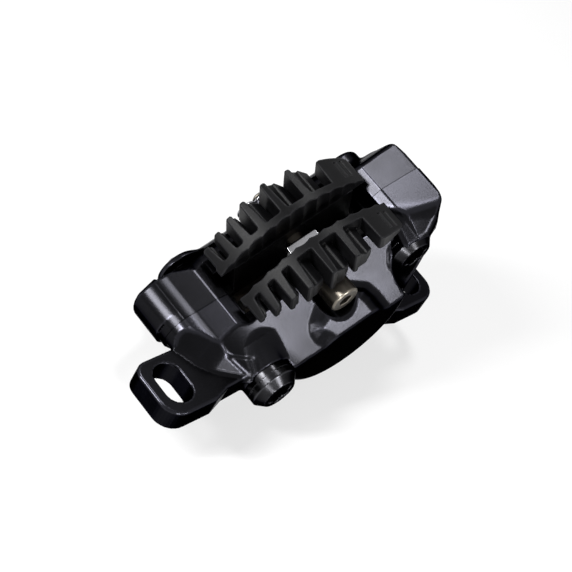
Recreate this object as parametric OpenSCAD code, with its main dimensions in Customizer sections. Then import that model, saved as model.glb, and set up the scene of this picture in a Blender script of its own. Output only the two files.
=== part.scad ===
// Four-piston disc brake caliper for a bicycle, post mount, with finned pads.
// X runs along the line of the two ear slots, Y across the rotor towards the
// wheel, Z along the mounting bolts. Y = 0 is the plane of the rotor, Z = 0 the
// underside of the ears. All sizes are millimetres.
// The two body halves are tilted over the ears. Their own directions are
// u along the body, y across the rotor and w outward, away from the hub.

/* [Mounting ears] */
// Distance between the two ear slots
mount_pitch = 74; // [73:0.5:76]
// Width of an ear slot, for an M6 bolt
slot_w = 6.5; // [6.2:0.1:7]
// Length of an ear slot, across the rotor
slot_l = 10; // [8:0.5:11]
// Thickness of an ear
ear_t = 6; // [5:0.5:7]
// Material left round a slot
ear_wall = 2.8; // [2.4:0.1:3.4]
// Slot line to the plane of the rotor
ear_offset = 10.1; // [9.6:0.1:10.6]

/* [Body] */
// Tilt of the body over the ears
tilt = 26; // [24:1:28]
// Height of the top of the body over the ears' undersides
body_z = 24.8; // [24:0.2:26]
// Half length of the pad window
window_half = 20.5; // [20.3:0.1:21]
// Middle of the window to the left end of the body
left_end = 38.5; // [38:0.5:40]
// Middle of the window to the right end of the body
right_end = 33.6; // [33:0.2:34.4]
// Depth of the body, from its top to below the pistons
body_depth = 33.2; // [33:0.2:35]
// Outboard half, from the parting plane to its outer face
outboard_t = 19.2; // [19:0.2:20]
// Inboard half, from the parting plane to its outer face
inboard_t = 14.4; // [14.2:0.1:15]
// Width of the slot that the rotor runs in
rotor_slot = 4.4; // [4.2:0.1:5]

/* [Rotor] */
// Radius of the rotor that the caliper is made for
rotor_r = 90; // [80:5:101.5]
// Rim of the rotor below the top of the body
rotor_top = 14.8; // [14.4:0.1:15.2]

/* [Body bolts] */
// Middle of the window to each body bolt
bolt_u = 22.65; // [22.4:0.1:23]
// Body bolts below the top of the body
bolt_w = 13.3; // [13:0.1:13.4]
// Diameter of a body bolt's shank
bolt_d = 6; // [5:0.5:6]
// Diameter of a body bolt's head
bolt_head_d = 11.7; // [11:0.1:12]
// Height of a body bolt's head
bolt_head_h = 3.6; // [3:0.1:4]
// Thickness of the washer under a head
washer_t = 1.4; // [1:0.1:1.6]
// Parting plane to the left bolt's seat
left_seat = 17; // [16.6:0.1:17.4]
// Parting plane to the right bolt's seat
right_seat = 8.8; // [8.4:0.1:9.2]
// Parting plane to the end of the left blind boss
left_boss_end = 16.8; // [16.4:0.1:17.4]
// Parting plane to the end of the right blind boss
right_boss_end = 15.6; // [15.4:0.1:16]

/* [Pistons] */
// Middle of the caliper to each piston
piston_u = 9; // [8.8:0.1:9.2]
// Pistons below the top of the body
piston_w = 21.5; // [21.3:0.1:21.8]
// Diameter of the pistons on the side where the rotor enters
lead_piston_d = 15; // [14:0.5:15]
// Diameter of the pistons on the side where the rotor leaves
trail_piston_d = 16; // [15:0.5:16]
// Length of a piston
piston_l = 7.6; // [7:0.2:8]
// Wall of a piston's open cup
piston_wall = 2; // [1.6:0.1:2.4]
// Width of a square seal
seal_w = 1.9; // [1.6:0.1:2.2]
// Depth of a square seal's groove
seal_d = 1; // [0.8:0.1:1]

/* [Pads] */
// Half length of a pad's radiator
pad_half = 19.9; // [19.5:0.1:20]
// Half length of a pad's backing plate
plate_half = 17.9; // [17.6:0.1:18]
// Rotor plane to a pad's lining at rest
lining_y = 1.3; // [1.3:0.1:1.6]
// Thickness of a lining
lining_t = 2; // [1.8:0.1:2.2]
// Thickness of a backing plate
plate_t = 2; // [1.8:0.1:2.2]
// Height of the radiator's arch at its middle
arch_h = 8.3; // [7.5:0.1:9]
// Reach of the longest fin from the rotor plane
fin_reach = 13.2; // [12.5:0.1:13.6]
// Furthest that a piston pushes its pad
pad_travel = 1; // [0.8:0.1:1.1]

/* [Pad axle] */
// Axle below the top of the body
axle_w = 4.6; // [4.4:0.1:4.8]
// Diameter of the axle
axle_d = 4; // [3.6:0.1:4.2]
// Diameter of the axle's head
axle_head_d = 7.2; // [6.8:0.1:7.6]
// Rotor plane to the end of the axle's head
axle_head_end = 15.5; // [15:0.1:16]

/* [Hydraulics] */
// Tapping diameter of the hose port
hose_port_d = 7; // [6.6:0.1:7.4]
// Depth of the hose port
hose_port_l = 6.4; // [5.6:0.1:6.6]
// Diameter of the drilled fluid passages
passage_d = 1.8; // [1.4:0.1:2]

/* [Hidden] */
$fn = 72;

// Clearances
run_fit = 0.05;
face_gap = 0.05;
seat_gap = 0.3;
through = 1;
reach = 100;

// The body's own frame over the ears
body_x = 0.8;
module in_body() {
  translate([body_x, 0, body_z])
    rotate([0, -tilt, 0])
      children();
}

// Radial levels and heights of the body
end_r = 6.2;
end_u = left_end - end_r;
deck_w = 0.3;
window_edge_w = -0.8;
right_deck_w = -0.9;
right_fall = 1.4;
housing_r = body_depth - piston_w;
boss_r = bolt_head_d / 2 + 0.05;
window_half_y = lining_y + lining_t + plate_t + 0.5;

// Extrudes an outline drawn in (u, w) from one y to another
module slab(y0, y1) {
  translate([0, y1, 0])
    rotate([90, 0, 0])
      linear_extrude(y1 - y0)
        children();
}

// A cylinder along y from one y to another, at (u, w)
module rod(u, w, d, y0, y1) {
  translate([u, y1, w])
    rotate([90, 0, 0])
      cylinder(d = d, h = y1 - y0);
}

// A section drawn in (y, w), carried along the whole body
module along_body() {
  translate([-left_end - 1, 0, 0])
    rotate([90, 0, 90])
      linear_extrude(left_end + right_end + 2)
        children();
}

// Outline of a body half seen along the bolts
module side_outline(end_left) {
  union() {
    intersection() {
      union() {
        translate([-end_u, deck_w - end_r])
          circle(r = end_r);
        polygon([[-end_u, deck_w], [-window_half - 3, -0.7], [-window_half, -1.2],
          [window_half - 1, -2], [window_half + 1.4, right_deck_w],
          [right_end - 0.9, right_deck_w - right_fall], [right_end, right_deck_w - right_fall - 1],
          [right_end, -20.5], [right_end - 4, -24.5], [piston_u, -piston_w], [-piston_u, -piston_w],
          [-bolt_u, -bolt_w - boss_r], [-end_u, deck_w - 2 * end_r]]);
      }
      translate([-end_left, -body_depth])
        square([end_left + right_end, body_depth + 2]);
    }
    for (side = [-1, 1]) {
      translate([side * piston_u, -piston_w])
        circle(r = housing_r);
      translate([side * bolt_u, -bolt_w])
        circle(r = boss_r);
    }
    translate([-piston_u, -body_depth])
      square([2 * piston_u, housing_r]);
  }
}

// Plan of the outboard half seen from above, in (u, y)
module outboard_plan() {
  polygon([[-left_end, 0], [-left_end + 2, -0.9], [-end_u - 0.3, -2.2], [-end_u + 2.3, -6.5],
    [-bolt_u - 5.2, -15.3], [-bolt_u - 5, -outboard_t - 2], [window_half - 1, -outboard_t - 2],
    [window_half - 1, -outboard_t + 2], [right_end - 9, -14], [right_end - 5, -12],
    [right_end - 1.5, -9.2], [right_end - 0.3, -7.4], [right_end, -5.5], [right_end, 0]]);
}

// The side face is round, with a narrow flank that widens fast behind it
face_u = -0.6;
face_w = 14.6;
face_r = 16.2;
flank_r = 18.2;
flank_t = 2.2;
flare = 2.3;
module face_cone() {
  translate([face_u, -outboard_t + flank_t, -face_w])
    rotate([90, 0, 0])
      cylinder(r1 = flank_r, r2 = face_r, h = flank_t);
  translate([face_u, 0, -face_w])
    rotate([90, 0, 0])
      cylinder(r1 = flank_r + flare * (outboard_t - flank_t), r2 = flank_r, h = outboard_t - flank_t);
}

// Section of the outboard half: flat deck, then a slope down to the side face
slope_y = 7;
slope_foot_y = outboard_t - 1;
slope_foot_w = -11.6;
module outboard_section() {
  polygon([[0, 2], [-slope_y, 2], [-slope_y, window_edge_w], [-slope_foot_y, slope_foot_w],
    [-outboard_t, slope_foot_w - 2.2], [-outboard_t, -face_w - face_r],
    [-outboard_t + 1, -body_depth + 0.8], [-outboard_t + 3, -body_depth], [0, -body_depth]]);
}

// The ear round one slot, in (X, Y), and its run back into the body
module ear_plan(side) {
  outer = mount_pitch / 2 + slot_w / 2 + ear_wall;
  near_y = -ear_offset - slot_l / 2 - ear_wall;
  far_y = -ear_offset + slot_l / 2 + ear_wall - 0.6;
  root = side < 0 ? 18 : 16;
  near_r = 5;
  far_r = 3.2;
  polygon([for (p = concat(
    [[root, far_y], [mount_pitch / 2 - 5, far_y]],
    [for (a = [0:15:90]) [outer - far_r + far_r * sin(a), far_y - far_r + far_r * cos(a)]],
    [for (a = [0:15:90]) [outer - near_r + near_r * cos(a), near_y + near_r - near_r * sin(a)]],
    [[mount_pitch / 2 - 6.5, near_y], [mount_pitch / 2 - 11, near_y + 1.5], [root, near_y + 1.9]]))
    [side * p[0], p[1]]]);
}

// A slot for a mounting bolt, long across the rotor
module ear_slot(side) {
  for (end = [-1, 1])
    translate([side * mount_pitch / 2, -ear_offset + end * (slot_l - slot_w) / 2, -through])
      cylinder(d = slot_w, h = ear_t + 2 * through);
  translate([side * mount_pitch / 2 - slot_w / 2, -ear_offset - (slot_l - slot_w) / 2, -through])
    cube([slot_w, slot_l - slot_w, ear_t + 2 * through]);
}

// Slot for the rotor: a disc a little larger than the rotor's rim
module rotor_cut() {
  rod(0, -rotor_top - rotor_r, 2 * rotor_r + 1, -rotor_slot / 2, rotor_slot / 2);
}

// Bore of one piston with its seal groove; side is -1 outboard, 1 inboard
bore_depth = 9.4;
groove_y = 2.6;
module piston_bore(u, side, d) {
  mouth = window_half_y;
  translate([u, side * (mouth - 0.5), -piston_w])
    rotate([-side * 90, 0, 0]) {
      cylinder(d = d + 2 * run_fit, h = bore_depth + 0.5);
      translate([0, 0, groove_y])
        cylinder(d = d + 2 * seal_d, h = seal_w + 2 * face_gap);
    }
}

// Diameter of the piston at one end: the rotor enters on the right
function piston_d(u) = u > 0 ? lead_piston_d : trail_piston_d;

// Drilled hole between two points of the body
module drilled(a, b, d) {
  v = b - a;
  l = norm(v);
  translate(a)
    rotate([0, acos(v[2] / l), atan2(v[1], v[0])])
      cylinder(d = d, h = l);
}

// Fluid passages of one half: between its bores and up to the crossover
crossover = [-27.5, -5];
chamber_y = window_half_y + bore_depth - 1.2;
chamber_top = -piston_w + 6.6;
module passages(side) {
  y = side * chamber_y;
  turn_y = side * 7.2;
  drilled([-piston_u, y, -piston_w], [piston_u, y, -piston_w], passage_d);
  drilled([crossover[0], 0, crossover[1]], [crossover[0], turn_y + side * 0.8, crossover[1]], passage_d);
  drilled([crossover[0], turn_y, crossover[1]], [-piston_u, y, chamber_top], passage_d);
}

// What both halves have cut away
bay_half = plate_half + 0.6;
bay_top = -3;
module window_cut() {
  translate([-window_half, -window_half_y, bay_top])
    cube([2 * window_half, 2 * window_half_y, 4 - bay_top]);
  translate([-bay_half, -window_half_y, -reach])
    cube([2 * bay_half, 2 * window_half_y, reach]);
}

// Outboard half of the body, forged in one piece with both ears
module outboard_body() {
  color([0.16, 0.16, 0.17])
    difference() {
      union() {
        in_body()
          intersection() {
            slab(-outboard_t - 2, 0)
              side_outline(left_end);
            along_body()
              outboard_section();
            translate([0, 0, -body_depth - through])
              linear_extrude(body_depth + 4)
                outboard_plan();
            face_cone();
          }
        in_body()
          right_corner();
        in_body()
          rod(-bolt_u, -bolt_w, 2 * boss_r, -left_seat, 0);
        for (side = [-1, 1])
          linear_extrude(ear_t)
            ear_plan(side);
        left_web();
        right_leg();
      }
      in_body()
        window_cut();
      in_body()
        rotor_cut();
      for (side = [-1, 1])
        ear_slot(side);
      in_body()
        outboard_bores();
      translate([-reach, 0, -reach])
        cube([2 * reach, reach, 2 * reach]);
    }
}

// The deck's outer corner over the right bolt, folded down along a slanted line
corner_fold = [22.6, -5.9, -1.2];
corner_turn = -30;
corner_slope = 40;
module right_corner() {
  corner_depth = 9;
  difference() {
    intersection() {
      slab(-15, 0)
        side_outline(left_end);
      translate([0, 0, -corner_depth])
        linear_extrude(corner_depth + 2)
          polygon([[window_half, 0], [window_half, -14], [25.3, -14.2], [29, -12.4], [right_end - 1.7, -9.5],
            [right_end - 0.7, -7.6], [right_end, -5], [right_end, 0]]);
    }
    translate(corner_fold)
      rotate([0, 0, corner_turn])
        rotate([corner_slope, 0, 0])
          translate([-reach / 2, -reach / 2, 0])
            cube(reach);
  }
}

// Web from the left ear up to the top of the body, its wall leaning outward
module left_web() {
  foot = [[-31.4, -3], [-28.8, -10.8], [-24.9, -14.3], [-19, -15.9], [-15, -15.9], [-15, 0], [-32, 0]];
  crest_z = 11;
  intersection() {
    hull() {
      linear_extrude(ear_t)
        polygon(foot);
      translate([0, 0, crest_z])
        linear_extrude(0.1)
          polygon([[-28.2, -1.6], [-25.8, -6.5], [-22.5, -11], [-15, -11], [-15, 0], [-29.5, 0]]);
    }
    in_body()
      along_body()
        outboard_section();
  }
}

// Web from the right bolt boss down to the right ear
module right_leg() {
  rotate([90, 0, 0])
    linear_extrude(13)
      polygon([[16, 0], [30.2, 0], [30.2, ear_t], [32, body_z + 2], [20, body_z]]);
}

// Pockets, bolt holes, piston bores and the axle hole of the outboard half
module outboard_bores() {
  rod(-bolt_u, -bolt_w, bolt_d + 2 * run_fit, -outboard_t - 4, through);
  rod(bolt_u, -bolt_w, bolt_d + 2 * run_fit, -outboard_t - 4, through);
  rod(-bolt_u, -bolt_w, bolt_head_d + 2 * seat_gap, -outboard_t - 4, -left_seat);
  rod(bolt_u, -bolt_w, bolt_head_d + 2.6, -outboard_t - 4, -right_seat);
  for (side = [-1, 1])
    piston_bore(side * piston_u, -1, piston_d(side * piston_u));
  rod(0, -axle_w, axle_d + 2 * run_fit, -outboard_t, 0);
  rod(0, -axle_w - 1, axle_head_d + 1.6, -outboard_t - 3, -axle_seat_y);
  passages(-1);
}
axle_seat_y = 9.6;

// Section of the inboard half: the housing's full depth, and its thinner right end
module inboard_section() {
  t = inboard_t;
  polygon([[0, 2], [9.2, 2], [9.2, window_edge_w], [t - 1.6, -4.2], [t, -7], [housing_t, -12.5],
    [housing_t, -body_depth + 7], [housing_t - 3, -body_depth + 1.6], [housing_t - 6, -body_depth],
    [0, -body_depth]]);
}
housing_t = 16.9;

module right_end_section() {
  polygon([[0, 2], [7.6, 2], [7.6, window_edge_w], [9.2, -3.6], [10.8, -6.8], [12.4, -9.6], [13.4, -12],
    [13.4, -body_depth], [0, -body_depth]]);
}

// Plan of the inboard half, in (u, y)
module inboard_plan() {
  polygon([[-left_end, 0], [-left_end, 11], [-left_end + 3, 11.6], [-bolt_u - 3, inboard_t],
    [-bolt_u + 2, housing_t], [piston_u + 8, housing_t], [window_half + 1.5, 13.4], [right_end - 4, 12.2],
    [right_end - 1.7, 9.6], [right_end - 0.6, 7.4], [right_end, 5], [right_end, 0]]);
}

// Inboard half of the body with the blind bolt bosses and the hose port
module inboard_body() {
  color([0.15, 0.15, 0.17])
    difference() {
      in_body()
        union() {
          intersection() {
            slab(0, inboard_t + 2)
              side_outline(left_end);
            along_body()
              inboard_section();
            union() {
              translate([-left_end - 1, 0, -body_depth - through])
                cube([left_end + 1 + window_half, inboard_t + 4, body_depth + 4]);
              along_body()
                right_end_section();
            }
            translate([0, 0, -body_depth - through])
              linear_extrude(body_depth + 4)
                inboard_plan();
          }
          rod(-bolt_u, -bolt_w, 2 * boss_r - 0.8, 0, left_boss_end);
          rod(bolt_u, -bolt_w, 2 * boss_r - 1.2, 0, right_boss_end);
          rod(0, -axle_w, axle_d + 5, 6, inboard_t);
          rod(bleed_u, -bleed_w, bleed_boss_d, 4, bleed_seat);
        }
      in_body() {
        window_cut();
        rotor_cut();
        inboard_bores();
      }
    }
}

// Bolt threads, piston bores, axle thread, hose and bleed ports
module inboard_bores() {
  rod(-bolt_u, -bolt_w, bolt_d + 2 * run_fit, -through, left_bolt_end + seat_gap);
  rod(bolt_u, -bolt_w, bolt_d + 2 * run_fit, -through, right_bolt_end + seat_gap);
  for (side = [-1, 1])
    piston_bore(side * piston_u, 1, piston_d(side * piston_u));
  rod(0, -axle_w, axle_d + 2 * run_fit, 0, inboard_t + 2);
  passages(1);
  translate([crossover[0], 0, crossover[1]])
    rotate([-90, 0, 0])
      cylinder(d = o_ring_od + 2 * face_gap, h = o_ring_w);
  translate([right_end - hose_port_l, hose_port_y, -hose_port_w])
    rotate([0, 90, 0])
      cylinder(d = hose_port_d, h = hose_port_l + through);
  drilled([right_end - hose_port_l + 0.2, hose_port_y, -hose_port_w + hose_port_d / 2 - 0.2],
    [piston_u, chamber_y, chamber_top], passage_d);
  drilled([bleed_u, hose_port_y + 1, -hose_port_w - 2], [bleed_u, hose_port_y - 1, -bleed_w + 1], passage_d);
  rod(bleed_u, -bleed_w, bleed_d + 2 * run_fit, 4.4, bleed_seat + through);
  rod(-bolt_u, -bolt_w, plug_d, left_boss_end - plug_d / 2, left_boss_end + through);
}
o_ring_od = 5.2;
o_ring_w = 1.2;
hose_port_y = 7;
hose_port_w = 9.6;

// The bolts' own lengths inside the inboard half
left_bolt_end = 12.6;
right_bolt_end = 12;

// A body bolt: chamfered head with a lobed recess, shank into the far half
module body_bolt(u, seat, end) {
  under_head = seat + washer_t;
  color([0.1, 0.1, 0.11])
    in_body()
      translate([u, -under_head, -bolt_w])
        rotate([90, 0, 0])
          difference() {
            union() {
              cylinder(d = bolt_head_d, h = bolt_head_h * 0.45);
              translate([0, 0, bolt_head_h * 0.45])
                cylinder(d1 = bolt_head_d, d2 = bolt_head_d * 0.7, h = bolt_head_h * 0.55);
              translate([0, 0, -under_head - end])
                cylinder(d = bolt_d, h = under_head + end);
            }
            translate([0, 0, bolt_head_h - 2.4])
              star_recess(bolt_head_d * 0.21);
          }
}

// Washers under the two heads
module body_bolt_washers() {
  color([0.12, 0.12, 0.13])
    in_body()
      for (b = [[-bolt_u, left_seat], [bolt_u, right_seat]])
        difference() {
          rod(b[0], -bolt_w, bolt_head_d, -b[1] - washer_t, -b[1]);
          rod(b[0], -bolt_w, bolt_d + 2 * run_fit, -b[1] - washer_t - through, -b[1] + through);
        }
}

// Six-lobed recess of a bolt head
module star_recess(r) {
  cylinder(r = r, h = 4);
  for (a = [0:60:300])
    rotate(a)
      translate([r, 0, 0])
        cylinder(r = r * 0.3, h = 4, $fn = 24);
}

module body_bolt_left() {
  body_bolt(-bolt_u, left_seat, left_bolt_end);
}

module body_bolt_right() {
  body_bolt(bolt_u, right_seat, right_bolt_end);
}

// A piston: a cup that is open towards its pad
plate_back = lining_y + lining_t + plate_t;
module piston(u, side) {
  d = piston_d(u);
  color([0.82, 0.8, 0.74])
    in_body()
      translate([u, side * (plate_back + face_gap), -piston_w])
        rotate([-side * 90, 0, 0])
          difference() {
            cylinder(d = d, h = piston_l);
            translate([0, 0, -through])
              cylinder(d = d - 2 * piston_wall, h = piston_l - piston_wall + through);
          }
}

module piston_outboard_left() {
  piston(-piston_u, -1);
}

module piston_outboard_right() {
  piston(piston_u, -1);
}

module piston_inboard_left() {
  piston(-piston_u, 1);
}

module piston_inboard_right() {
  piston(piston_u, 1);
}

// A square seal in its groove round a piston
module seal(u, side) {
  d = piston_d(u);
  y = window_half_y - 0.5 + groove_y + face_gap;
  color([0.1, 0.1, 0.1])
    in_body()
      translate([u, side * y, -piston_w])
        rotate([-side * 90, 0, 0])
          difference() {
            cylinder(d = d + 2 * seal_d - 2 * face_gap, h = seal_w);
            translate([0, 0, -through])
              cylinder(d = d + 2 * run_fit, h = seal_w + 2 * through);
          }
}

module seal_outboard_left() {
  seal(-piston_u, -1);
}

module seal_outboard_right() {
  seal(piston_u, -1);
}

module seal_inboard_left() {
  seal(-piston_u, 1);
}

module seal_inboard_right() {
  seal(piston_u, 1);
}

// Ring that seals the fluid crossover where the halves meet
module crossover_o_ring() {
  thick = o_ring_w - face_gap;
  color([0.1, 0.1, 0.1])
    in_body()
      translate([crossover[0], face_gap + thick / 2, crossover[1]])
        rotate([-90, 0, 0])
          rotate_extrude()
            translate([o_ring_od / 2 - thick / 2, 0])
              circle(d = thick, $fn = 24);
}

// Steel ball pressed into the left boss
plug_d = 4.6;
module passage_plug() {
  color([0.75, 0.75, 0.77])
    in_body()
      translate([-bolt_u, left_boss_end - 0.4, -bolt_w])
        sphere(d = plug_d - 0.04, $fn = 48);
}

// Axle that the pads hang on: socket head, plain shank and a grooved tip
axle_end = 16.6;
clip_y = 15.2;
module pad_axle() {
  head_h = axle_head_end - axle_seat_y - face_gap;
  color([0.55, 0.53, 0.5])
    in_body()
      translate([0, -axle_head_end, -axle_w])
        rotate([-90, 0, 0])
          difference() {
            union() {
              cylinder(d1 = axle_head_d - 0.8, d2 = axle_head_d, h = 0.4);
              translate([0, 0, 0.4])
                cylinder(d = axle_head_d, h = head_h - 0.4);
              cylinder(d = axle_d, h = axle_head_end + axle_end - 1);
              translate([0, 0, axle_head_end + axle_end - 1])
                cylinder(d1 = axle_d, d2 = axle_d - 1.6, h = 1);
            }
            translate([0, 0, -through])
              cylinder(d = 3 / cos(30), h = 2.5 + through, $fn = 6);
            translate([0, 0, axle_head_end + clip_y - 0.5])
              difference() {
                cylinder(d = axle_d + 1, h = 1);
                cylinder(d = axle_d - 1.2, h = 1);
              }
          }
}

// Snap clip on the axle's tip: a wire ring with a loop to pull it by
clip_wire = 0.8;
module axle_clip() {
  ring_r = axle_d / 2 - 0.6 + clip_wire / 2 + run_fit;
  loop_r = 2.2;
  color([0.75, 0.75, 0.77])
    in_body()
      translate([0, clip_y, -axle_w])
        rotate([90, 0, 0]) {
          rotate_extrude()
            translate([ring_r, 0])
              circle(d = clip_wire, $fn = 16);
          translate([-ring_r - loop_r, 0, 0])
            rotate_extrude()
              translate([loop_r, 0])
                circle(d = clip_wire, $fn = 16);
        }
}

// Outline of a backing plate, in (u, w): lining part, neck and tongue
pad_bottom = body_depth - 4.6;
lining_top = 13.4;
tongue_t = 1;
tongue_h = 3;
tongue_half = plate_half - 2;
module plate_outline() {
  difference() {
    union() {
      translate([-plate_half, -pad_bottom])
        square([2 * plate_half, pad_bottom - lining_top + 2]);
      translate([-plate_half + 1.5, -lining_top])
        square([2 * plate_half - 3, lining_top]);
    }
    translate([0, -rotor_top - rotor_r])
      circle(r = rotor_r - 16);
    translate([0, -axle_w])
      circle(d = axle_d + 4 * run_fit);
  }
}

// One pad's steel backing plate
module backing_plate(side) {
  near = lining_y + lining_t;
  mid = near + plate_t / 2;
  color([0.35, 0.35, 0.36])
    in_body()
      mirror([0, side < 0 ? 1 : 0, 0]) {
        slab(near, near + plate_t)
          plate_outline();
        difference() {
          slab(mid - tongue_t / 2, mid + tongue_t / 2)
            translate([-tongue_half, -1])
              square([2 * tongue_half, tongue_h + 1]);
          pad_rivet_holes();
        }
      }
}

module outboard_backing_plate() {
  backing_plate(-1);
}

module inboard_backing_plate() {
  backing_plate(1);
}

// The friction lining bonded on the backing plate
module lining(side) {
  inset = 1.2;
  color([0.28, 0.22, 0.17])
    in_body()
      mirror([0, side < 0 ? 1 : 0, 0])
        difference() {
          slab(lining_y, lining_y + lining_t)
            difference() {
              translate([-plate_half + inset, -pad_bottom + inset])
                square([2 * plate_half - 2 * inset, pad_bottom - lining_top - inset]);
              translate([0, -rotor_top - rotor_r])
                circle(r = rotor_r - 15);
            }
          translate([-0.75, lining_y - through, -pad_bottom])
            cube([1.5, lining_t - 0.4 + through, pad_bottom]);
        }
}

module outboard_lining() {
  lining(-1);
}

module inboard_lining() {
  lining(1);
}

// Height of the radiator's arch over the body's top at u
function arch(u) = 0.6 + (arch_h - 0.6) * (1 - pow(u / pad_half, 2));

// Each fin is a blunt blade with a flank on its right that falls in two slopes.
// Left edge of a fin, and how far its flank's ridge and foot stand to the right.
fins = [[-19.6, 1.9, 2.8], [-16.2, 1.9, 2.8], [-12.5, 2.2, 3.3], [-8.5, 2.8, 5.4], [-2.6, 3.8, 6], [3.9, 3.7, 6.1]];
fin_root = 2.1;
fin_tip_t = 1.4;
blunt = 0.3;
ridge_share = 0.72;
foot_share = 0.42;
tab_u = 11.6;
function fin_tip(u) = fin_reach - 3.1 * pow(abs(u) / pad_half, 1.6);

// Cast aluminium radiator: an arched plate with fins that point outward
module radiator(side) {
  near = lining_y + lining_t;
  mid = near + plate_t / 2;
  color([0.24, 0.24, 0.25])
    in_body()
      mirror([0, side < 0 ? 1 : 0, 0])
        difference() {
          union() {
            slab(near, near + plate_t)
              radiator_outline();
            intersection() {
              slab(near, fin_reach + 1)
                radiator_outline();
              linear_extrude(arch_h) {
                for (f = fins)
                  fin_plan(f[0]);
                tab_plan();
              }
            }
            for (f = fins)
              fin_flank(f[0], f[1], f[2]);
          }
          slab(mid - tongue_t / 2 - face_gap, mid + tongue_t / 2 + face_gap)
            translate([-tongue_half - face_gap, -through])
              square([2 * (tongue_half + face_gap), tongue_h + face_gap + through]);
          pad_rivet_holes();
        }
}

module radiator_outline() {
  step = pad_half / 10;
  polygon(concat([[pad_half, 0], [-pad_half, 0]],
    [for (i = [-10:10]) [i * step, arch(i * step)]]));
}

// Plan of one blade, in (u, y): a wedge with a blunt tip
module fin_plan(u) {
  tip = fin_tip(u + fin_root / 2);
  polygon([[u, plate_back - 1], [u + fin_root, plate_back - 1], [u + fin_tip_t, tip - blunt],
    [u + fin_tip_t - blunt, tip], [u + blunt, tip], [u, tip - blunt]]);
}

// Plan of the wide tab at the right end
module tab_plan() {
  polygon([[tab_u, plate_back - 1], [pad_half, plate_back - 1], [pad_half, fin_tip(pad_half)],
    [pad_half - 1.6, fin_tip(pad_half) + 0.9], [tab_u + 3.6, fin_tip(pad_half) + 1.5],
    [tab_u + fin_tip_t, fin_tip(tab_u)], [tab_u + blunt, fin_tip(tab_u) - blunt]]);
}

// The flank on the right of a blade, down to a ridge and on to its foot
module fin_flank(u, ridge, foot) {
  tip = fin_tip(u + fin_root / 2);
  ridge_h = ridge_share * arch(u + ridge);
  foot_h = foot_share * arch(u + foot);
  intersection() {
    slab(plate_back - 1, fin_reach)
      polygon([[u, 0], [u, ridge_h], [u + fin_tip_t, max(ridge_h, arch(u) - 1)], [u + ridge - 0.4, ridge_h],
        [u + ridge, ridge_h], [u + foot, foot_h], [u + foot, 0]]);
    linear_extrude(arch_h)
      polygon([[u, plate_back - 1], [u + foot, plate_back - 1], [u + foot - 0.3, tip - 1.4],
        [u + ridge, tip - 0.4], [u, tip - 0.4]]);
  }
}

module outboard_radiator() {
  radiator(-1);
}

module inboard_radiator() {
  radiator(1);
}

// Rivets that hold a radiator on its backing plate
rivet_d = 1.8;
rivet_w = 1.4;
rivet_us = [-13.6, -5.4, 2.2, 10];
module pad_rivet_holes() {
  for (u = rivet_us)
    rod(u, rivet_w, rivet_d, lining_y + lining_t + 0.45, plate_back + 2);
}

module rivets(side) {
  near = lining_y + lining_t;
  color([0.6, 0.6, 0.62])
    in_body()
      mirror([0, side < 0 ? 1 : 0, 0])
        for (u = rivet_us)
          rod(u, rivet_w, rivet_d, near + 0.5, plate_back + 0.1);
}

module outboard_rivets() {
  rivets(-1);
}

module inboard_rivets() {
  rivets(1);
}

// Sheet spring that spreads the pads: a saddle over the axle with two leaves
spring_t = 0.3;
spring_half_y = 1.35;
spring_u0 = -4.4;
spring_u1 = 3.4;
spring_top = 0.75;
foot_clear = 0.25;
foot_h = 1.5;
module pad_spring() {
  foot_y = lining_y + lining_t - pad_travel - foot_clear;
  top = spring_top;
  foot_w = -lining_top + foot_h;
  leaf_half = axle_d / 2 + 0.9;
  color([0.8, 0.8, 0.82])
    in_body()
      difference() {
        union() {
          translate([spring_u0, -spring_half_y, top - spring_t])
            cube([spring_u1 - spring_u0, 2 * spring_half_y, spring_t]);
          for (side = [-1, 1])
            mirror([0, side < 0 ? 1 : 0, 0])
              translate([-leaf_half, 0, 0])
                rotate([90, 0, 90])
                  linear_extrude(2 * leaf_half)
                    polygon([[spring_half_y - spring_t, top], [spring_half_y, top],
                      [foot_y, foot_w + 3], [foot_y - 0.6, foot_w],
                      [foot_y - 0.6 - spring_t, foot_w], [foot_y - spring_t, foot_w + 3],
                      [spring_half_y - spring_t, top - spring_t]]);
        }
        rod(0, -axle_w, axle_d + 2 * run_fit + 0.1, -foot_y - 1, foot_y + 1);
      }
}

// Bleed nipple screwed into the inboard half, with its rubber cap
bleed_u = 29.6;
bleed_w = 22.4;
bleed_d = 5;
bleed_boss_d = 8;
bleed_seat = 12.6;
bleed_hex = 5.2;
hex_h = 1.4;
nozzle_d = 3.4;
nozzle_h = 3.5;
nipple_foot_y = 6;
nipple_bore = 1.4;
cap_d = 5;
cap_wall = 0.9;
module bleed_nipple() {
  color([0.75, 0.75, 0.77])
    in_body()
      translate([bleed_u, 0, -bleed_w])
        rotate([-90, 0, 0])
          difference() {
            union() {
              translate([0, 0, nipple_foot_y])
                cylinder(d = bleed_d, h = bleed_seat - nipple_foot_y + face_gap);
              translate([0, 0, bleed_seat + face_gap])
                cylinder(d = bleed_hex / cos(30), h = hex_h, $fn = 6);
              translate([0, 0, bleed_seat + face_gap])
                cylinder(d = nozzle_d, h = nozzle_h);
            }
            translate([0, 0, nipple_foot_y - through])
              cylinder(d = nipple_bore, h = bleed_seat - nipple_foot_y + nozzle_h + 2 * through);
          }
}

module bleed_cap() {
  color([0.12, 0.12, 0.13])
    in_body()
      translate([bleed_u, bleed_seat + hex_h + 2 * face_gap, -bleed_w])
        rotate([-90, 0, 0])
          difference() {
            cylinder(d = cap_d, h = nozzle_h - hex_h + cap_wall);
            translate([0, 0, -through])
              cylinder(d = nozzle_d + 2 * run_fit, h = nozzle_h - hex_h + through);
          }
}

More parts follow.
